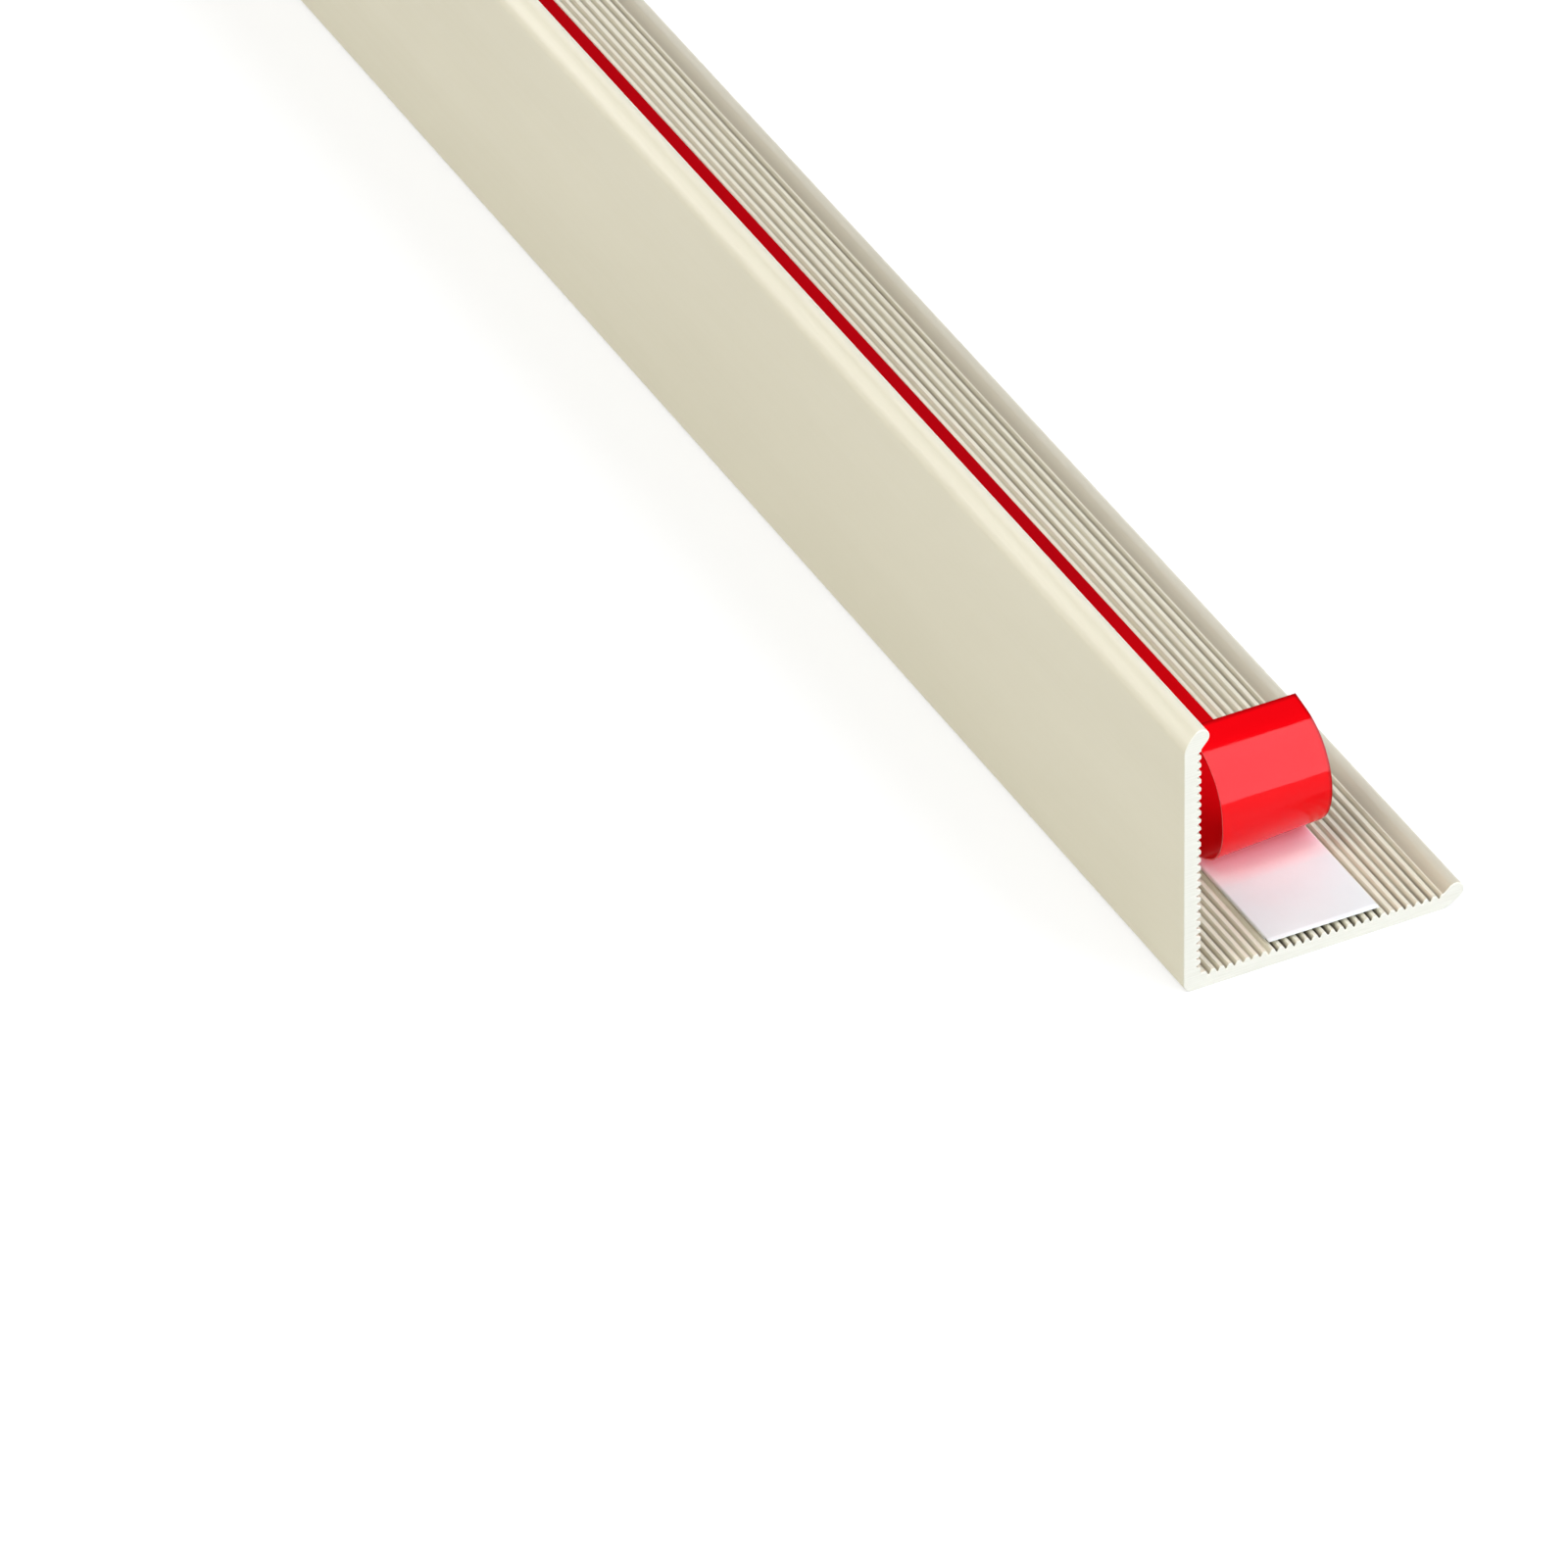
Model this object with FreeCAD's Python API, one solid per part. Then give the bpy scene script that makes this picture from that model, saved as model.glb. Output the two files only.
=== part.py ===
import FreeCAD, Part
import math
import os

# Self-adhesive corner guard: a ribbed angle with turned-in lips, a strip of tape and its peeled liner.
# Millimetres. The strip lies along Y with one leg flat on the floor and the other leg upright. The origin is
# at the bottom centre of the strip's box, and the end with the peeled liner is the one towards -Y.

# Angle profile
LENGTH = 400.0              # cut length of the strip
LEG_WIDTH = 25.0            # each leg, from the outer faces' meeting line to the lip's outermost point
WALL = 1.15                 # solid wall below the ribs
OUTER_CORNER_RADIUS = 0.8   # rounding where the two outer faces meet

# Ribs along the inside of both legs
RIB_HEIGHT = 0.35           # from groove floor to rib crest
RIB_PITCH = 0.76            # from one groove to the next
GROOVE_MOUTH = 0.5          # groove width at the crests
GROOVE_FLOOR = 0.1          # groove width at its floor
LIP_LAND = 0.15             # plain crest between the lip's slope and the first groove
CORNER_LAND = 0.4           # least plain crest between the last groove and the inside corner

# Turned-in lip along each free edge
LIP_WIDTH = 1.85            # from the lip's outermost point to the foot of its inner slope
LIP_DEPTH = 2.2             # from the outer face to the lip's innermost point
LIP_THICKNESS = 1.5         # its nose is fully round
SHOULDER_ANGLE = 33.0       # degrees, from the outer face to the flat shoulder that leads to the nose
KNEE_RADIUS = 1.3           # outside of the bend between them

# Adhesive tape on the lying leg
TAPE_WIDTH = 9.85
TAPE_THICKNESS = 0.4
TAPE_SETBACK = 0.55         # from each cut end of the strip to the tape's end
TAPE_OFFSET = 0.5           # tape's middle, from the middle of the ribbed band towards the lip

# Release liner
LINER_THICKNESS = 0.12
LINER_WIDTH = 9.8
LINER_OFFSET = 0.28         # liner's middle, from the tape's middle towards the lip
PEELED_LENGTH = 15.15       # bare tape from its near end to the line where the liner lifts off
LIFT_RADIUS = 8.3           # outside of its first bend, where it lifts off
LIFT_TURN = 33.0            # degrees of that bend
CURL_RADIUS = 5.3           # outside of the curl that follows
CURL_TURN = 169.0           # degrees that the film has turned over in all
FREE_LENGTH = 1.85          # straight end after the curl

# Places that follow from the sizes above
CREST_LEVEL = WALL + RIB_HEIGHT
TAPE_TOP = CREST_LEVEL + TAPE_THICKNESS
NEAR_END = -LENGTH / 2
FAR_END = LENGTH / 2
OUTER_FACE = -LEG_WIDTH / 2


def direction(degrees):
    """Unit vector in the section plane, 0 degrees along the leg and 90 into its thickness."""
    angle = math.radians(degrees)
    return FreeCAD.Vector(math.cos(angle), math.sin(angle), 0)


def arc(centre, radius, start, end):
    """Arc in the section plane from one direction to another, through the direction half way."""
    points = [centre + direction(angle) * radius for angle in (start, (start + end) / 2, end)]
    return Part.Arc(*points).toShape()


def lines(points):
    """Straight edges through the points in order."""
    return [Part.LineSegment(a, b).toShape() for a, b in zip(points, points[1:])]


def lip_edges():
    """Bend, flat shoulder, round nose and inner slope of one leg's lip, each running into the next.

    The leg runs along x from the outer corner and its thickness along y, with the outer face at y = 0.
    Returns the edges from the outer face to the crest level, and the x where each end of them lies.
    """
    nose_radius = LIP_THICKNESS / 2
    nose = FreeCAD.Vector(LEG_WIDTH - nose_radius, LIP_DEPTH - nose_radius, 0)
    outward = SHOULDER_ANGLE - 90
    shoulder_end = nose + direction(outward) * nose_radius
    crease = shoulder_end.x - shoulder_end.y / math.tan(math.radians(SHOULDER_ANGLE))
    knee = FreeCAD.Vector(crease - KNEE_RADIUS * math.tan(math.radians(SHOULDER_ANGLE / 2)), KNEE_RADIUS, 0)
    shoulder_start = knee + direction(outward) * KNEE_RADIUS

    foot = FreeCAD.Vector(LEG_WIDTH - LIP_WIDTH, CREST_LEVEL, 0)
    span = nose - foot
    slope = math.degrees(math.atan2(span.y, span.x) + math.asin(nose_radius / span.Length))
    slope_start = nose + direction(slope + 90) * nose_radius

    edges = [arc(knee, KNEE_RADIUS, -90, outward)]
    edges += lines([shoulder_start, shoulder_end])
    edges += [arc(nose, nose_radius, outward, slope + 90)]
    edges += lines([slope_start, foot])
    return edges, knee.x, foot.x


def rib_points(slope_end):
    """Crest line of one leg from the lip's slope to the inside corner, dipping into each groove."""
    points = [FreeCAD.Vector(slope_end, CREST_LEVEL, 0)]
    first = slope_end - LIP_LAND - GROOVE_MOUTH / 2
    last = CREST_LEVEL + CORNER_LAND + GROOVE_MOUTH / 2
    count = math.floor((first - last) / RIB_PITCH) + 1
    for index in range(count):
        middle = first - index * RIB_PITCH
        points.append(FreeCAD.Vector(middle + GROOVE_MOUTH / 2, CREST_LEVEL, 0))
        points.append(FreeCAD.Vector(middle + GROOVE_FLOOR / 2, WALL, 0))
        points.append(FreeCAD.Vector(middle - GROOVE_FLOOR / 2, WALL, 0))
        points.append(FreeCAD.Vector(middle - GROOVE_MOUTH / 2, CREST_LEVEL, 0))
    points.append(FreeCAD.Vector(CREST_LEVEL, CREST_LEVEL, 0))
    return points


def swap_legs(edges):
    """The same edges on the other leg: a half turn about the line that halves the right angle."""
    turned = []
    for edge in edges:
        copy = edge.copy()
        copy.rotate(FreeCAD.Vector(), FreeCAD.Vector(1, 1, 0), 180)
        turned.append(copy)
    return turned


def extrude_along_y(edges, start, length):
    """Solid whose section is drawn in x and y, stood up so that y points up, from start along +Y."""
    wire = Part.Wire(Part.__sortEdges__(edges))
    face = Part.Face(wire)
    face.rotate(FreeCAD.Vector(), FreeCAD.Vector(1, 0, 0), 90)
    face.translate(FreeCAD.Vector(OUTER_FACE, start, 0))
    return face.extrude(FreeCAD.Vector(0, length, 0))


def corner_profile():
    """Extruded angle: one section, alike on both legs."""
    lip, knee_start, slope_end = lip_edges()
    outer_face = lines([FreeCAD.Vector(OUTER_CORNER_RADIUS, 0, 0), FreeCAD.Vector(knee_start, 0, 0)])
    leg = outer_face + lip + lines(rib_points(slope_end))
    corner = FreeCAD.Vector(OUTER_CORNER_RADIUS, OUTER_CORNER_RADIUS, 0)
    rounding = [arc(corner, OUTER_CORNER_RADIUS, 180, 270)]
    return extrude_along_y(leg + swap_legs(leg) + rounding, NEAR_END, LENGTH)


def tape_middle():
    """X of the tape's middle line."""
    slope_end = lip_edges()[2]
    return OUTER_FACE + (CREST_LEVEL + slope_end) / 2 + TAPE_OFFSET


def adhesive_tape():
    """Flat strip on the rib crests of the lying leg."""
    corner = FreeCAD.Vector(tape_middle() - TAPE_WIDTH / 2, NEAR_END + TAPE_SETBACK, CREST_LEVEL)
    return Part.makeBox(TAPE_WIDTH, LENGTH - 2 * TAPE_SETBACK, TAPE_THICKNESS, corner)


def release_liner():
    """Film on the tape, with its near end lifted off and curled up and back."""
    peel_line = NEAR_END + TAPE_SETBACK + PEELED_LENGTH
    far_end = FAR_END - TAPE_SETBACK
    bottom = -90
    lift_end = bottom - LIFT_TURN
    curl_end = bottom - CURL_TURN
    lift = FreeCAD.Vector(peel_line, TAPE_TOP + LIFT_RADIUS, 0)
    curl = lift + direction(lift_end) * (LIFT_RADIUS - CURL_RADIUS)

    edges = []
    tips = []
    for depth in (0, LINER_THICKNESS):
        edges.append(arc(lift, LIFT_RADIUS - depth, bottom, lift_end))
        edges.append(arc(curl, CURL_RADIUS - depth, lift_end, curl_end))
        straight_start = curl + direction(curl_end) * (CURL_RADIUS - depth)
        tips.append(straight_start + direction(curl_end - 90) * FREE_LENGTH)
        edges += lines([straight_start, tips[-1]])
    edges += lines(tips)
    edges += lines([
        FreeCAD.Vector(peel_line, TAPE_TOP, 0),
        FreeCAD.Vector(far_end, TAPE_TOP, 0),
        FreeCAD.Vector(far_end, TAPE_TOP + LINER_THICKNESS, 0),
        FreeCAD.Vector(peel_line, TAPE_TOP + LINER_THICKNESS, 0),
    ])
    face = Part.Face(Part.Wire(Part.__sortEdges__(edges)))
    face.rotate(FreeCAD.Vector(), FreeCAD.Vector(1, 1, 1), 120)
    face.translate(FreeCAD.Vector(tape_middle() + LINER_OFFSET - LINER_WIDTH / 2, 0, 0))
    return face.extrude(FreeCAD.Vector(LINER_WIDTH, 0, 0))


def main():
    os.makedirs("parts", exist_ok=True)
    pieces = {
        "corner_profile": corner_profile(),
        "adhesive_tape": adhesive_tape(),
        "release_liner": release_liner(),
    }
    for name, solid in pieces.items():
        box = solid.BoundBox
        print(
            name, "valid", solid.isValid(), "solids", len(solid.Solids), "volume mm3", round(solid.Volume, 2),
            "from", (round(box.XMin, 3), round(box.YMin, 3), round(box.ZMin, 3)),
            "to", (round(box.XMax, 3), round(box.YMax, 3), round(box.ZMax, 3)),
        )
        solid.exportStep("parts/" + name + ".step")


main()
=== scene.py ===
import math

import bmesh
import bpy
import numpy as np
from mathutils import Matrix, Quaternion, Vector, noise


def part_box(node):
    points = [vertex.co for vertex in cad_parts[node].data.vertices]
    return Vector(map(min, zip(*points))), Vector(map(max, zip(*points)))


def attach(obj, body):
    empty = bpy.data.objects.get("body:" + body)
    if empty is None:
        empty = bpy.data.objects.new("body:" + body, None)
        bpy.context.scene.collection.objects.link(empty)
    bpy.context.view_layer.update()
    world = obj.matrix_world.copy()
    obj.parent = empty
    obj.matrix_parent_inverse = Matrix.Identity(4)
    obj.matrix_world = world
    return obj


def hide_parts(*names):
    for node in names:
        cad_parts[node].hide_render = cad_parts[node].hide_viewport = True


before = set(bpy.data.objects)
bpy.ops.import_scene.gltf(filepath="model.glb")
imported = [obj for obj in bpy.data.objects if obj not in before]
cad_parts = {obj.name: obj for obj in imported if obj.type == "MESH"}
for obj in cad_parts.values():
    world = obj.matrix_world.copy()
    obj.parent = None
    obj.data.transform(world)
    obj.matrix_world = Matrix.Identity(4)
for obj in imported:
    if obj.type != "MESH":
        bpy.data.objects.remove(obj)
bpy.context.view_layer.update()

# Self-adhesive corner guard: finer skins for the ribbed angle, for its tape and for the tape's peeled film.
# The part's lengths are in millimetres and the studio's in metres. Angles are in degrees where nothing else
# is said.
MM = 0.001

# Section of the angle, as the solid has it
WALL = 1.15                 # solid wall below the ribs
RIB_HEIGHT = 0.35           # from groove floor to rib crest
RIB_PITCH = 0.76            # from one groove to the next
GROOVE_MOUTH = 0.5          # groove width at the crests
LIP_LAND = 0.15             # plain crest between the lip's slope and the first groove
CORNER_LAND = 0.4           # least plain crest between the last groove and the inside corner
LIP_WIDTH = 1.85            # from the lip's outermost point to the foot of its inner slope
LIP_DEPTH = 2.2             # from the outer face to the lip's innermost point
LIP_THICKNESS = 1.5         # its nose is fully round
SHOULDER_ANGLE = 33.0       # from the outer face to the shoulder that leads to the nose
KNEE_RADIUS = 1.3           # outside of the bend between them
OUTER_CORNER_RADIUS = 0.8   # rounding where the two outer faces meet
CREST_LEVEL = WALL + RIB_HEIGHT
NOSE_RADIUS = LIP_THICKNESS / 2
NOSE_LEVEL = LIP_DEPTH - NOSE_RADIUS

# Peeled end of the film, as the solid has it
LINER_THICKNESS = 0.12
PEELED_LENGTH = 15.15       # bare tape from its near end to the line where the film lifts off
LIFT_RADIUS = 8.3           # outside of the film's first bend, where it lifts off
LIFT_TURN = 33.0            # turn of that bend
CURL_RADIUS = 5.3           # outside of the curl that follows
CURL_TURN = 169.0           # turn of the film in all
FREE_LENGTH = 1.85          # straight end after the curl

# Places taken from the frame
profile_low, profile_high = (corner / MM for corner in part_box("corner_profile"))
tape_low, tape_high = (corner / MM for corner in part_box("adhesive_tape"))
liner_low, liner_high = (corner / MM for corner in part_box("release_liner"))
LEG_WIDTH = profile_high.z - profile_low.z
NEAR_END = profile_low.y
FAR_END = profile_high.y
PEEL_LINE = tape_low.y + PEELED_LENGTH

# Forms too fine for the solids
SHOULDER_CROWN = 11.0       # angle by which the shoulder bows out at either end
CUT_BEVEL = 0.05            # broken edge of the sawn ends
TAPE_ROUNDING = 0.16        # radius of the tape's long edges
TAPE_SLANT = 0.08           # by how much the tape's near end is cut askew
TAPE_EDGE = 0.1             # thickness of the tape's face that overhangs there
TAPE_UNDERCUT = 0.9         # by how much the rest of the tape stands back
FOOT_SKEW = 1.2             # by how much the film's foot stands nearer on the upright leg's side
FOOT_REACH = 90.0           # turn of the film over which that evens out

# A groove's form: share of its half mouth from the middle, and share of its depth there
GROOVE_FORM = ((1.0, 0.0), (0.84, 0.1), (0.52, 0.58), (0.26, 0.94), (0.0, 1.0))

# Unevenness of the grooves: its size, the length over which it changes, and its first line in the noise
STRAY = (0.05, 38.0, 0)     # millimetres by which a groove's middle strays
MOUTH_CHANGE = (0.2, 27.0, 100)     # share of its mouth
DEPTH_CHANGE = (0.25, 33.0, 200)    # share of its depth
SHADE_CHANGE = (0.6, 70.0, 300)      # share of its painted shade
LINE_STEP = 7.31            # distance in the noise from one groove's line to the next
LINE_START = 0.5            # where the first of these lines is
LINE_LEVEL = 3.7            # level of the noise on which they all are

# Painted shade on the angle, from 0 where there is none to 1 on the floor of a groove under the tape, where
# the tape's shadow falls; it darkens the grooves and the lips' feet and noses
UNSHOWN_SHADE = 0.15          # most painted shade that doesn't show, as in the groove on the corner's side of the tape, which stays light
OPEN_SHADE = 0.5            # floor of an open groove
FRONT_SHADE = 0.22          # what the near end adds to that between the tape and the lip
FRONT_REACH = 6.0           # length over which that fades
FOOT_SHADE = 0.42           # painted shade at the foot of a lip's inner slope
NOSE_SHADE = 0.33           # painted shade on the innermost line of a lip's nose

# Reach of the colours on the tape and the film
EDGE_HIGHLIGHT_WIDTH = 0.45           # strip along the tape's near edge that is painted whiter, a painted highlight
FRONT_BLEND = 0.2           # share of its width by which it fades to either side
RED_BOUNCE_REACH = 7.5           # length in front of the peel line over which the tape is painted pink, a painted red bounce light and reflection from the film
BRIGHTENING_REACH = 35.0          # length behind the peel line over which the film's red is painted brighter towards the curl, a painted red bounce light
FREE_REACH = 3.0            # length in front of it after which the film is as bright as at its end
RIM_WIDTH = 0.3             # strip along the lifted film's lip-side edge that gets painted shade

# Colours that are used more than once, and the tape's own
WHITE = (1.0, 1.0, 1.0)
# painted highlight along the tape's near edge
PAINTED_EDGE_HIGHLIGHT = (0.88, 0.91, 0.895)
TAPE_WHITE = (0.77, 0.79, 0.775)

# Painted red bounce light and reflection from the film on the tape: share of its reach from the peel line,
# and the tape's colour there
PAINTED_RED_BOUNCE = (
    (1.0, TAPE_WHITE),
    (0.8, (0.95, 0.785, 0.78)),
    (0.6, (1.0, 0.69, 0.74)),
    (0.4, (1.0, 0.42, 0.5)),
    (0.0, (1.0, 0.35, 0.4)),
)

# Fineness of the meshes
ARC_STEP = 5.0              # turn of each edge of a rounding
CURL_STEP = 3.0             # turn of the film from one of its rows to the next
TIP_ROWS = 4                # rows of the film's straight end
FILM_COLUMNS = 12           # points across the film up to its rim
ROW_STEP = 4.0              # length from one cross-section to the next
SUPPORT = 0.15              # width from a flat face's border to its first inner edge
SHARP_ANGLE = 38.0          # angle above which an edge shades as a corner
SAME_POINT = 0.001          # distance below which two points are one

# Part of a noise's range that its tones and its roughness run over
TONE_RANGE = (0.35, 0.65)
ROUGHNESS_RANGE = (0.3, 0.7)

# Sockets of the mix node that carry colours
MIX_FACTOR = 0
MIX_FIRST = 6
MIX_SECOND = 7
MIX_RESULT = 2

# Studio floor and world
FLOOR_REACH = 8.0           # from the floor's middle to each of its sides
FLOOR_GREY = 0.35           # light that the floor throws back on the part
SEEN_GREY = 0.4             # the same where it is looked at, which keeps the part's shadow
SEEN_GLOW = 0.66            # what is added there, so that it looks white
SKY_GREY = 0.05             # world overhead, where the horizon is 1
SKY_START = 0.02            # sine of the height above the horizon where that is reached

# Tints of the lamps
COOL = (0.96, 1.0, 1.11)
WARM = (1.03, 0.985, 0.76)

# Camera
CAMERA_OFFSET = (-0.45922, -0.84249, 0.73141)   # from the strip's near outer corner
CAMERA_AZIMUTH = -26.74847
CAMERA_ELEVATION = 36.53027
CAMERA_ROLL = -0.9073
CAMERA_LENS = 355.2327      # millimetres, as is the sensor's width
CAMERA_SENSOR = 36.0
CAMERA_NEAREST = 0.05
CAMERA_FARTHEST = 50.0

# Name under which a mesh keeps its painted shade at each of its points
SHADE = "shade"

# Numbers of the two legs, and of each piece's finishes
LYING, UPRIGHT = 0, 1
SKIN, CUT = 0, 1
OUTSIDE, INSIDE, EDGE = 0, 1, 2

# Direction of the film's upper face where it lies flat, in radians
FLAT_FACING = math.radians(90)


def arc_points(centre, radius, start, end):
    """Points of an arc from one direction to another, both ends included."""
    count = max(2, round(abs(end - start) / ARC_STEP)) + 1
    angles = np.radians(np.linspace(start, end, count))
    return [(centre[0] + radius * math.cos(a), centre[1] + radius * math.sin(a)) for a in angles]


def lip_points():
    """Outline of one leg's turned-in lip, from the flat outer face round its nose to the crest level."""
    nose = np.array([LEG_WIDTH - NOSE_RADIUS, NOSE_LEVEL])
    start, end = SHOULDER_ANGLE - SHOULDER_CROWN, SHOULDER_ANGLE + SHOULDER_CROWN
    start_sine, start_cosine = math.sin(math.radians(start)), math.cos(math.radians(start))
    end_sine, end_cosine = math.sin(math.radians(end)), math.cos(math.radians(end))
    shoulder_end = nose + NOSE_RADIUS * np.array([end_sine, -end_cosine])
    knee_rise = KNEE_RADIUS * (1 - start_cosine)
    shoulder_radius = (shoulder_end[1] - knee_rise) / (start_cosine - end_cosine)
    shoulder = shoulder_end - shoulder_radius * np.array([end_sine, -end_cosine])
    knee = (shoulder[0] + (shoulder_radius - KNEE_RADIUS) * start_sine, KNEE_RADIUS)
    foot = np.array([LEG_WIDTH - LIP_WIDTH, CREST_LEVEL])
    span = nose - foot
    slope = math.atan2(span[1], span[0]) + math.asin(NOSE_RADIUS / np.linalg.norm(span))
    along = np.array([math.cos(slope), math.sin(slope)])

    points = [(knee[0] - SUPPORT, 0.0)]
    points += arc_points(knee, KNEE_RADIUS, -90, start - 90)
    points += arc_points(shoulder, shoulder_radius, start - 90, end - 90)[1:]
    points += arc_points(nose, NOSE_RADIUS, end - 90, math.degrees(slope) + 90)[1:]
    points += [tuple(foot + along * SUPPORT), tuple(foot)]
    return points, foot[0]


LIP, SLOPE_END = lip_points()
FIRST_GROOVE = SLOPE_END - LIP_LAND - GROOVE_MOUTH / 2
LAST_GROOVE = CREST_LEVEL + CORNER_LAND + GROOVE_MOUTH / 2
GROOVE_COUNT = math.floor((FIRST_GROOVE - LAST_GROOVE) / RIB_PITCH) + 1


def change(kind, leg, index, y):
    """How far a groove departs from an even one: smooth along the strip, and different in each groove."""
    size, reach, first_line = kind
    line = first_line + leg * GROOVE_COUNT + index
    return size * noise.noise(Vector((LINE_STEP * line + LINE_START, y / reach, LINE_LEVEL)))


def groove_points(leg, index, y):
    """One groove across the leg, from the lip's side to the corner's side, uneven along the strip."""
    middle = FIRST_GROOVE - index * RIB_PITCH + change(STRAY, leg, index, y)
    half = GROOVE_MOUTH / 2 * (1 + change(MOUTH_CHANGE, leg, index, y))
    depth = RIB_HEIGHT * (1 + change(DEPTH_CHANGE, leg, index, y))
    towards_lip = [(middle + half * share, CREST_LEVEL - depth * fall) for share, fall in GROOVE_FORM]
    towards_corner = [(2 * middle - u, w) for u, w in reversed(towards_lip[:-1])]
    return towards_lip + towards_corner


def leg_points(leg, y):
    """Half of the section: one leg from the outer corner's rounding to the inside corner."""
    points = [(OUTER_CORNER_RADIUS + SUPPORT, 0.0)] + LIP
    for index in range(GROOVE_COUNT):
        points += groove_points(leg, index, y)
    return points


def section_points(y):
    """The whole section at one place along the strip, in X and Z from the outer corner."""
    lying = leg_points(LYING, y)
    upright = [(w, u) for u, w in reversed(leg_points(UPRIGHT, y))]
    corner = (OUTER_CORNER_RADIUS, OUTER_CORNER_RADIUS)
    rounding = arc_points(corner, OUTER_CORNER_RADIUS, 180, 270)
    return np.array(lying + [(CREST_LEVEL, CREST_LEVEL)] + upright + rounding)


def groove_shade(leg, index, y):
    """Painted shade on a groove's floor: most under the tape, where its shadow falls, none that shows
    beside it, and elsewhere uneven.
    """
    middle = profile_low.x + FIRST_GROOVE - index * RIB_PITCH
    if leg == LYING and tape_low.x < middle < tape_high.x:
        return 1.0
    if leg == LYING and tape_low.x - RIB_PITCH < middle < tape_low.x:
        return UNSHOWN_SHADE
    shade = OPEN_SHADE * (1 + change(SHADE_CHANGE, leg, index, y))
    if leg == LYING and middle > tape_high.x:
        shade += FRONT_SHADE * math.exp((NEAR_END - y) / FRONT_REACH)
    return shade


def section_shades(y, point_count):
    """Painted shade at each of the section's points, in order: in the grooves and on the lips' feet and
    noses.
    """
    falls = [fall for _, fall in GROOVE_FORM]
    across = falls + falls[-2::-1]
    # Painted shade on the inner half of each lip's nose
    nose = [NOSE_SHADE * max(0.0, w - NOSE_LEVEL) / NOSE_RADIUS for _, w in LIP[:-2]]
    legs = []
    for leg in (LYING, UPRIGHT):
        shades = [0.0] + nose + [FOOT_SHADE, FOOT_SHADE]
        for index in range(GROOVE_COUNT):
            floor_shade = groove_shade(leg, index, y)
            shades += [fall * floor_shade for fall in across]
        legs.append(shades)
    both = legs[LYING] + [0.0] + legs[UPRIGHT][::-1]
    return both + [0.0] * (point_count - len(both))


def shrunk(section, amount):
    """The section drawn in by the amount, along the mean normal at each point."""
    edges = np.roll(section, -1, axis=0) - section
    normals = np.stack([-edges[:, 1], edges[:, 0]], axis=1)
    normals /= np.linalg.norm(normals, axis=1, keepdims=True)
    mean = normals + np.roll(normals, 1, axis=0)
    mean /= np.linalg.norm(mean, axis=1, keepdims=True)
    return section + amount * mean


def mesh_object(name, vertices, faces, materials, finishes=None, shades=None):
    """A mesh piece from vertices in millimetres, with its normals outward and its corners sharp."""
    mesh = bpy.data.meshes.new(name)
    mesh.from_pydata([Vector(v) * MM for v in vertices], [], faces)
    if shades is not None:
        mesh.attributes.new(SHADE, "FLOAT", "POINT").data.foreach_set("value", shades)
    for material in materials:
        mesh.materials.append(material)
    if finishes is not None:
        mesh.polygons.foreach_set("material_index", finishes)
    shape = bmesh.new()
    shape.from_mesh(mesh)
    bmesh.ops.remove_doubles(shape, verts=shape.verts, dist=SAME_POINT * MM)
    bmesh.ops.recalc_face_normals(shape, faces=shape.faces)
    bmesh.ops.triangulate(shape, faces=[face for face in shape.faces if len(face.verts) > 4])
    shape.to_mesh(mesh)
    shape.free()
    mesh.shade_smooth()
    mesh.set_sharp_from_angle(angle=math.radians(SHARP_ANGLE))
    piece = bpy.data.objects.new(name, mesh)
    bpy.context.scene.collection.objects.link(piece)
    return piece


def loft_faces(row_count, ring_size):
    """Faces of a tube of closed rings, with a face across each end."""
    faces = []
    for row in range(row_count - 1):
        here, there = row * ring_size, (row + 1) * ring_size
        for k in range(ring_size):
            after = (k + 1) % ring_size
            faces.append((here + k, here + after, there + after, there + k))
    faces.append(tuple(range(ring_size)))
    faces.append(tuple(range((row_count - 1) * ring_size, row_count * ring_size)))
    return faces


def build_profile(skin, cut):
    """The extruded angle with its uneven ribs, broken edges and paler sawn ends."""
    inner_count = round((FAR_END - NEAR_END - 2 * CUT_BEVEL) / ROW_STEP) + 1
    inner = np.linspace(NEAR_END + CUT_BEVEL, FAR_END - CUT_BEVEL, inner_count)
    places = [NEAR_END, *inner, FAR_END]
    vertices = []
    shades = []
    for y in places:
        section = section_points(y)
        shades += section_shades(y, len(section))
        if y in (NEAR_END, FAR_END):
            section = shrunk(section, CUT_BEVEL)
        vertices += [(profile_low.x + u, y, profile_low.z + w) for u, w in section]
    ring_size = len(vertices) // len(places)
    faces = loft_faces(len(places), ring_size)
    bevel = [CUT] * ring_size
    ends = [CUT, CUT]
    finishes = bevel + [SKIN] * ring_size * (inner_count - 1) + bevel + ends
    return mesh_object("corner_profile_skin", vertices, faces, [skin, cut], finishes, shades)


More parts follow.
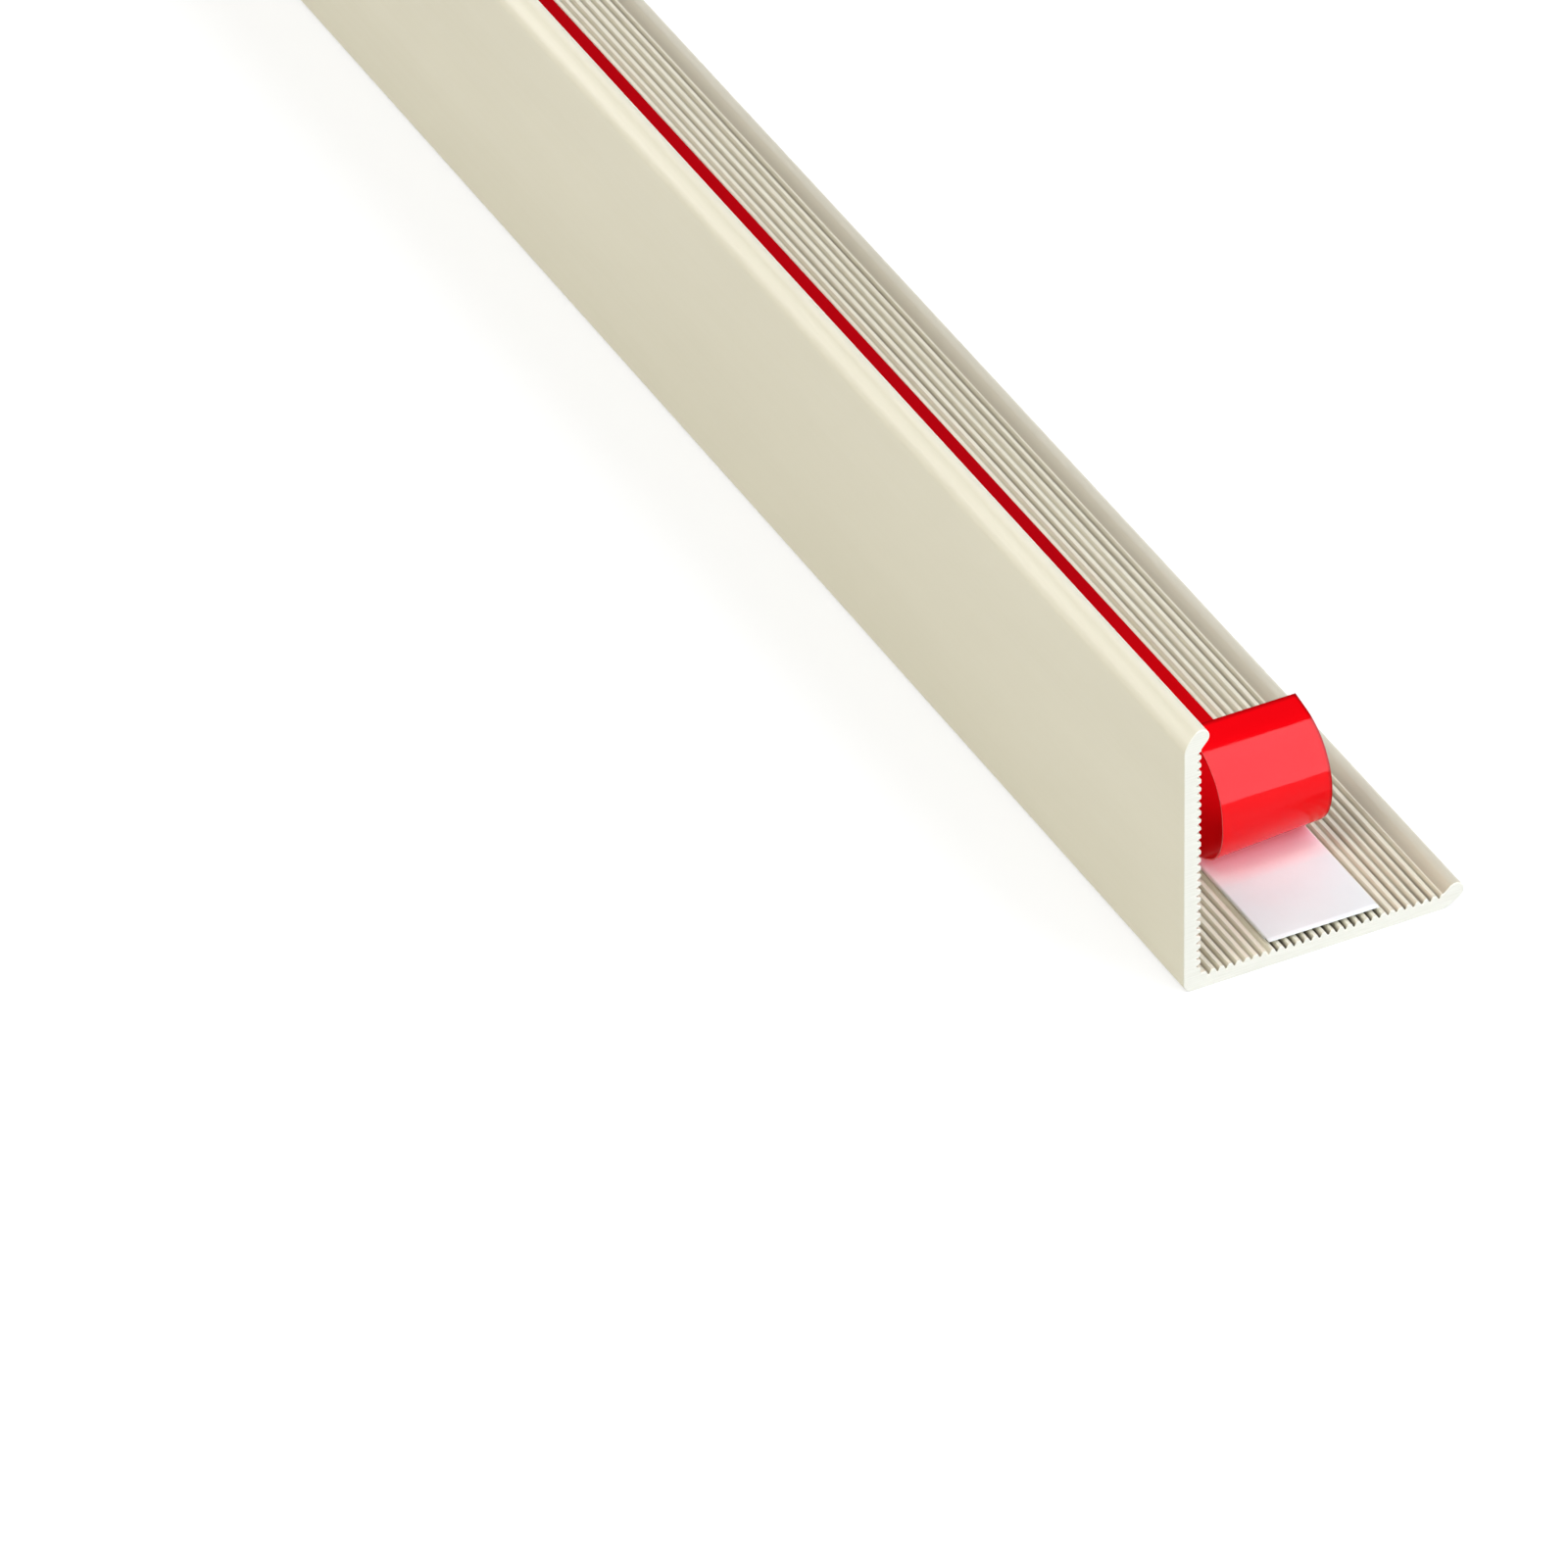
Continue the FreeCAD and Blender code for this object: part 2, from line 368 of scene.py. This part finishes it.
def build_tape(material):
    """The tape strip: rounded long edges, and a near end that is cut askew and overhangs the grooves."""
    low, high = tape_low, tape_high
    radius = TAPE_ROUNDING
    ring = []
    for x, z, start in (
        (low.x + radius, low.z + radius, 180),
        (high.x - radius, low.z + radius, 270),
        (high.x - radius, high.z - radius, 0),
        (low.x + radius, high.z - radius, 90),
    ):
        ring += arc_points((x, z), radius, start, start + 90)

    step_back = low.y + TAPE_UNDERCUT
    overhang = high.z - TAPE_EDGE
    count = round((high.y - low.y) / ROW_STEP) + 1
    rows = [(low.y, TAPE_SLANT, overhang), (step_back, TAPE_SLANT, overhang)]
    rows += [(step_back, TAPE_SLANT, low.z)]
    rows += [(y, 0.0, low.z) for y in np.linspace(step_back, high.y, count)[1:]]
    inset = radius - math.sqrt(radius ** 2 - (radius - TAPE_EDGE) ** 2)
    vertices = []
    for y, slant, floor in rows:
        for x, z in ring:
            if z < floor:
                x = min(max(x, low.x + inset), high.x - inset)
                z = floor
            vertices.append((x, y + slant * (high.x - x) / (high.x - low.x), z))
    return mesh_object("adhesive_tape_strip", vertices, loft_faces(len(rows), len(ring)), [material])


def liner_path():
    """Middle line of the film seen from the side, from its free end to its far end.

    Each row gives its Y and Z, the direction of the film's upper face in radians, and its share of the
    foot's skew.
    """
    half = LINER_THICKNESS / 2
    lift = np.array([PEEL_LINE, liner_low.z + LIFT_RADIUS])
    lift_end = math.radians(LIFT_TURN)
    curl = lift - (LIFT_RADIUS - CURL_RADIUS) * np.array([math.sin(lift_end), math.cos(lift_end)])
    curled = []
    for turn in np.linspace(CURL_TURN, 0.0, round(CURL_TURN / CURL_STEP) + 1):
        centre, radius = (lift, LIFT_RADIUS) if turn < LIFT_TURN else (curl, CURL_RADIUS)
        angle = math.radians(turn)
        y, z = centre - (radius - half) * np.array([math.sin(angle), math.cos(angle)])
        curled.append((y, z, math.radians(90 - turn), max(0.0, 1 - turn / FOOT_REACH)))

    y, z, facing, skew = curled[0]
    tip = []
    for reach in np.linspace(0.0, FREE_LENGTH, TIP_ROWS + 1)[:0:-1]:
        tip.append((y - reach * math.sin(facing), z + reach * math.cos(facing), facing, skew))

    flat_count = round((liner_high.y - PEEL_LINE) / ROW_STEP) + 1
    flat_places = np.linspace(PEEL_LINE, liner_high.y, flat_count)[1:]
    flat = [(y, liner_low.z + half, FLAT_FACING, 0.0) for y in flat_places]
    return tip + curled + flat


def build_liner(outside, inside, edge):
    """The red film: flat on the tape, its peeled end curled up and back, and its cut edges paler."""
    columns = np.append(np.linspace(liner_low.x, liner_high.x - RIM_WIDTH, FILM_COLUMNS), liner_high.x)
    half = LINER_THICKNESS / 2
    ring_size = 2 * len(columns)
    rim = (len(columns) - 1, len(columns))
    path = liner_path()
    vertices = []
    shades = []
    for row, (y, z, facing, skew) in enumerate(path):
        lean_y, lean_z = math.cos(facing) * half, math.sin(facing) * half
        shift = skew * FOOT_SKEW * (columns - liner_high.x) / (liner_high.x - liner_low.x)
        vertices += [(x, y + s - lean_y, z - lean_z) for x, s in zip(columns, shift)]
        vertices += [(x, y + s + lean_y, z + lean_z) for x, s in zip(columns[::-1], shift[::-1])]
        lifted = facing < FLAT_FACING
        # Painted shade on the film's tip row and along the lifted film's lip-side rim
        shades += [float(row == 0 or (lifted and k in rim)) for k in range(ring_size)]
    span = len(columns) - 1
    around = [OUTSIDE] * span + [EDGE] + [INSIDE] * span + [EDGE]
    finishes = around * (len(path) - 1) + [EDGE, EDGE]
    faces = loft_faces(len(path), ring_size)
    return mesh_object("release_liner_film", vertices, faces, [outside, inside, edge], finishes, shades)


def set_inputs(tree, node, inputs):
    """Gives a node's inputs, by name or number, each a value or another node's output."""
    for key, value in inputs.items():
        if isinstance(value, bpy.types.NodeSocket):
            tree.links.new(value, node.inputs[key])
        else:
            node.inputs[key].default_value = value


def add_node(tree, kind, inputs=None, **settings):
    """A node with the given inputs and settings."""
    node = tree.nodes.new(kind)
    for name, value in settings.items():
        setattr(node, name, value)
    set_inputs(tree, node, inputs or {})
    return node


def object_place(tree):
    """Place on the piece, in metres along its own X, Y and Z."""
    node = tree.nodes.get("Texture Coordinate") or add_node(tree, "ShaderNodeTexCoord")
    return node.outputs["Object"]


def stretched_noise(tree, reach, detail):
    """Noise whose grain has the given reach in millimetres along X, Y and Z."""
    scale = [1 / (r * MM) for r in reach]
    mapping = add_node(tree, "ShaderNodeMapping", {"Vector": object_place(tree), "Scale": scale})
    inputs = {"Vector": mapping.outputs["Vector"], "Scale": 1.0, "Detail": detail}
    return add_node(tree, "ShaderNodeTexNoise", inputs).outputs["Fac"]


def kept_shade(tree):
    """The shade that the mesh keeps at each of its points."""
    return add_node(tree, "ShaderNodeAttribute", attribute_name=SHADE).outputs["Fac"]


def ramp(tree, factor, *stops):
    """Colour that runs through the stops, each a place and a colour, as the factor rises."""
    node = add_node(tree, "ShaderNodeValToRGB", {"Fac": factor})
    elements = node.color_ramp.elements
    elements[0].position = stops[0][0]
    elements[1].position = stops[-1][0]
    for place, _ in stops[1:-1]:
        elements.new(place)
    for element, (_, colour) in zip(elements, stops):
        element.color = (*colour, 1.0)
    return node.outputs["Color"]


def tone(tree, factor, dark, light):
    """Colour that runs from dark to light over the middle of a noise's range."""
    low, high = TONE_RANGE
    return ramp(tree, factor, (low, dark), (high, light))


def map_range(tree, value, start, end, low=0.0, high=1.0):
    """Number that runs from low to high as the value runs from start to end."""
    inputs = {"Value": value, "From Min": start, "From Max": end, "To Min": low, "To Max": high}
    return add_node(tree, "ShaderNodeMapRange", inputs).outputs["Result"]


def uneven_roughness(tree, factor, low, high):
    """Roughness from low to high over the middle of a noise's range."""
    return map_range(tree, factor, *ROUGHNESS_RANGE, low, high)


def share_along(tree, start, end):
    """Share of the way along the strip from one place to another, in millimetres."""
    place = add_node(tree, "ShaderNodeSeparateXYZ", {"Vector": object_place(tree)})
    return map_range(tree, place.outputs["Y"], start * MM, end * MM)


def multiplied(tree, first, second):
    """Product of two colours."""
    inputs = {MIX_FACTOR: 1.0, MIX_FIRST: first, MIX_SECOND: second}
    product = add_node(tree, "ShaderNodeMix", inputs, data_type="RGBA", blend_type="MULTIPLY")
    return product.outputs[MIX_RESULT]


def bump(tree, height, depth):
    """Normal from a height of the given depth in millimetres."""
    inputs = {"Height": height, "Distance": depth * MM, "Strength": 1.0}
    return add_node(tree, "ShaderNodeBump", inputs).outputs["Normal"]


def empty_tree(owner):
    """The node tree of a material or a world, with nothing in it."""
    owner.use_nodes = True
    owner.node_tree.nodes.clear()
    return owner.node_tree


def new_material(name):
    """A material with only its principled shader and its output."""
    material = bpy.data.materials.new(name)
    tree = empty_tree(material)
    shader = add_node(tree, "ShaderNodeBsdfPrincipled")
    add_node(tree, "ShaderNodeOutputMaterial", {"Surface": shader.outputs["BSDF"]})
    return material, tree, shader


def pvc_material():
    """Cream extruded PVC: satin, with faint tone changes, drawn lines along the strip, and painted shade in
    the grooves and on the lips.
    """
    material, tree, shader = new_material("cream_pvc")
    patches = stretched_noise(tree, reach=(14.0, 60.0, 14.0), detail=4.0)
    lines = stretched_noise(tree, reach=(0.5, 160.0, 0.5), detail=2.0)
    grain = stretched_noise(tree, reach=(0.12, 0.3, 0.12), detail=2.0)
    grain_share = 0.4
    heights = {0: grain, 1: grain_share, 2: lines}
    height = add_node(tree, "ShaderNodeMath", heights, operation="MULTIPLY_ADD")
    cream = tone(tree, patches, dark=(0.735, 0.695, 0.555), light=(0.775, 0.735, 0.595))
    open_groove_shade = (0.63, 0.61, 0.58)
    under_tape_shade = (0.1, 0.09, 0.07)
    # Painted shade: darker in the grooves, most under the tape where its shadow falls, and at the lips'
    # feet and noses
    painted_shade = ramp(tree, kept_shade(tree), (UNSHOWN_SHADE, WHITE), (OPEN_SHADE, open_groove_shade), (1.0, under_tape_shade))
    set_inputs(tree, shader, {
        "Base Color": multiplied(tree, cream, painted_shade),
        "Roughness": uneven_roughness(tree, lines, low=0.32, high=0.42),
        "Normal": bump(tree, height.outputs["Value"], depth=0.012),
    })
    return material


def cut_material():
    """Sawn PVC: paler and duller than the skin, with fine saw marks."""
    material, tree, shader = new_material("cut_pvc")
    marks = stretched_noise(tree, reach=(2.5, 1.0, 0.09), detail=2.0)
    set_inputs(tree, shader, {
        "Base Color": tone(tree, marks, dark=(0.79, 0.775, 0.655), light=(0.84, 0.825, 0.715)),
        "Roughness": 0.7,
        "Normal": bump(tree, marks, depth=0.02),
    })
    return material


def tape_material():
    """White double-sided tape: soft gloss, fine crepe, a painted highlight along its near edge, and painted
    red bounce light and reflection close to the film.
    """
    material, tree, shader = new_material("white_tape")
    clouds = stretched_noise(tree, reach=(5.0, 5.0, 5.0), detail=3.0)
    crepe = stretched_noise(tree, reach=(0.25, 0.25, 0.25), detail=2.0)
    clouding = tone(tree, clouds, dark=(0.97, 0.97, 0.97), light=WHITE)
    front = EDGE_HIGHLIGHT_WIDTH / PEELED_LENGTH
    red_bounce = RED_BOUNCE_REACH / PEELED_LENGTH
    colour = ramp(
        tree,
        share_along(tree, tape_low.y, PEEL_LINE),
        # Painted highlight along the tape's near edge
        ((1 - FRONT_BLEND) * front, PAINTED_EDGE_HIGHLIGHT),
        ((1 + FRONT_BLEND) * front, TAPE_WHITE),
        # Painted red bounce light and reflection from the film, growing towards the peel line
        *((1 - share * red_bounce, bounce_colour) for share, bounce_colour in PAINTED_RED_BOUNCE),
    )
    set_inputs(tree, shader, {
        "Base Color": multiplied(tree, colour, clouding),
        "Roughness": uneven_roughness(tree, clouds, low=0.4, high=0.5),
        "Normal": bump(tree, crepe, depth=0.01),
    })
    return material


def film_material(name, stuck, free, gloss):
    """Red release film: deep red on the tape, painted brighter towards its free end as red bounce light
    from the curl, and darker by painted shade at its lip-side rim and its tip.
    """
    material, tree, shader = new_material(name)
    clouds = stretched_noise(tree, reach=(6.0, 9.0, 6.0), detail=2.0)
    painted_brightening = share_along(tree, PEEL_LINE + BRIGHTENING_REACH, PEEL_LINE - FREE_REACH)
    colour = ramp(tree, painted_brightening, (0.0, stuck), (1.0, free))
    # Painted shade at the rim and the tip, darkening the film's colour
    rim_shade_grey = (0.4, 0.4, 0.4)
    rim = ramp(tree, kept_shade(tree), (0.0, WHITE), (1.0, rim_shade_grey))
    set_inputs(tree, shader, {
        "Base Color": multiplied(tree, colour, rim),
        "Roughness": uneven_roughness(tree, clouds, low=0.07, high=0.11),
        "Specular IOR Level": gloss,
        "Normal": bump(tree, clouds, depth=0.01),
    })
    return material


def film_materials():
    """The film's glossy outside, its duller inside, and its paler cut edges."""
    return (
        # Each free colour is painted brighter than its stuck colour, a painted red bounce light from the
        # curl
        film_material("red_film", stuck=(0.45, 0.001, 0.004), free=(0.78, 0.001, 0.004), gloss=0.15),
        film_material("red_film_inside", stuck=(0.4, 0.001, 0.004), free=(0.66, 0.001, 0.003), gloss=0.05),
        film_material("red_film_edge", stuck=(0.6, 0.03, 0.035), free=(0.95, 0.12, 0.14), gloss=0.15),
    )


def grey(level):
    """Opaque grey of the given level."""
    return (level, level, level, 1.0)


def floor_material():
    """Pale floor that looks white and still shows a soft shadow."""
    material = bpy.data.materials.new("pale_floor")
    tree = empty_tree(material)
    path = add_node(tree, "ShaderNodeLightPath")
    seen = path.outputs["Is Camera Ray"]
    for ray in ("Is Glossy Ray", "Is Transmission Ray"):
        either = add_node(tree, "ShaderNodeMath", {0: seen, 1: path.outputs[ray]}, operation="MAXIMUM")
        seen = either.outputs["Value"]
    plain = add_node(tree, "ShaderNodeBsdfDiffuse", {"Color": grey(FLOOR_GREY)})
    shaded = add_node(tree, "ShaderNodeBsdfDiffuse", {"Color": grey(SEEN_GREY)})
    glow = add_node(tree, "ShaderNodeEmission", {"Color": grey(1.0), "Strength": SEEN_GLOW})
    lifted = add_node(tree, "ShaderNodeAddShader", {0: shaded.outputs["BSDF"], 1: glow.outputs["Emission"]})
    inputs = {"Fac": seen, 1: plain.outputs["BSDF"], 2: lifted.outputs["Shader"]}
    mixed = add_node(tree, "ShaderNodeMixShader", inputs)
    add_node(tree, "ShaderNodeOutputMaterial", {"Surface": mixed.outputs["Shader"]})
    return material


def add_floor():
    """The floor that the lying leg rests on."""
    level = profile_low.z * MM
    signs = ((-1, -1), (1, -1), (1, 1), (-1, 1))
    mesh = bpy.data.meshes.new("floor")
    mesh.from_pydata([(x * FLOOR_REACH, y * FLOOR_REACH, level) for x, y in signs], [], [(0, 1, 2, 3)])
    mesh.materials.append(floor_material())
    floor = bpy.data.objects.new("floor", mesh)
    bpy.context.scene.collection.objects.link(floor)


def add_softbox(name, place, back, width, height, radiance, tint):
    """Flat lamp at a place, its dark side towards back, with its width level."""
    back = Vector(back).normalized()
    side = Vector((0, 0, 1)).cross(back).normalized()
    rise = back.cross(side)
    lamp = bpy.data.lights.new(name, "AREA")
    lamp.shape = "RECTANGLE"
    lamp.size = width
    lamp.size_y = height
    lamp.energy = radiance * math.pi * width * height
    lamp.color = tint
    holder = bpy.data.objects.new(name, lamp)
    holder.matrix_world = Matrix.Translation(place) @ Matrix((side, rise, back)).transposed().to_4x4()
    bpy.context.scene.collection.objects.link(holder)


def add_lights():
    """A long tilted band that the curl mirrors, and lamps all round that face the strip's middle."""
    band_back = (0, -0.716, 0.698)
    add_softbox("band", (0.6, -0.925, 1.0), band_back, 0.5, 2.79, 6.0, COOL)
    for name, place, width, height, radiance, tint in (
        ("top", (-0.75, -0.4, 1.9), 0.8, 0.8, 6.3, WHITE),
        ("right", (1.7, -0.1, 1.3), 1.0, 1.0, 2.0, WHITE),
        ("front", (0.1, -2.0, 0.62), 0.7, 0.8, 7.0, COOL),
        ("left", (-1.35, -0.4, 0.5), 0.9, 0.6, 4.05, WARM),
        ("back", (-1.6, 1.65, 0.36), 1.6, 0.6, 6.6, WHITE),
        ("rear", (0.3, 1.95, 0.5), 0.9, 0.8, 7.0, WHITE),
    ):
        add_softbox(name, place, place, width, height, radiance, tint)


def add_world():
    """Even light all round: white at the horizon and dim overhead."""
    world = bpy.data.worlds.new("studio")
    bpy.context.scene.world = world
    tree = empty_tree(world)
    place = add_node(tree, "ShaderNodeTexCoord")
    parts = add_node(tree, "ShaderNodeSeparateXYZ", {"Vector": place.outputs["Generated"]})
    sky = ramp(tree, parts.outputs["Z"], (0.0, WHITE), (SKY_START, (SKY_GREY, SKY_GREY, SKY_GREY)))
    background = add_node(tree, "ShaderNodeBackground", {"Color": sky, "Strength": 1.0})
    add_node(tree, "ShaderNodeOutputWorld", {"Surface": background.outputs["Background"]})


def add_camera():
    """Long lens at the photograph's viewing angle, above the strip's near end and to its left."""
    azimuth, elevation = math.radians(CAMERA_AZIMUTH), math.radians(CAMERA_ELEVATION)
    back = Vector((
        math.sin(azimuth) * math.cos(elevation),
        -math.cos(azimuth) * math.cos(elevation),
        math.sin(elevation),
    ))
    roll = Quaternion((0, 0, 1), math.radians(CAMERA_ROLL))
    data = bpy.data.cameras.new("camera")
    data.lens = CAMERA_LENS
    data.sensor_width = CAMERA_SENSOR
    data.clip_start = CAMERA_NEAREST
    data.clip_end = CAMERA_FARTHEST
    camera = bpy.data.objects.new("camera", data)
    camera.rotation_mode = "QUATERNION"
    camera.location = profile_low * MM + Vector(CAMERA_OFFSET)
    camera.rotation_quaternion = (-back).to_track_quat("-Z", "Y") @ roll
    bpy.context.scene.collection.objects.link(camera)
    bpy.context.scene.camera = camera


def build():
    """All pieces, each riding on the strip's one body and standing for its solid."""
    pieces = (
        (build_profile(pvc_material(), cut_material()), "corner_profile", "cream_pvc"),
        (build_tape(tape_material()), "adhesive_tape", "white_tape"),
        (build_liner(*film_materials()), "release_liner", "red_film"),
    )
    for piece, node, slot in pieces:
        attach(piece, "root")
        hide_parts(node)


build()
add_floor()
add_lights()
add_world()
add_camera()
bpy.context.scene.view_settings.view_transform = "Standard"
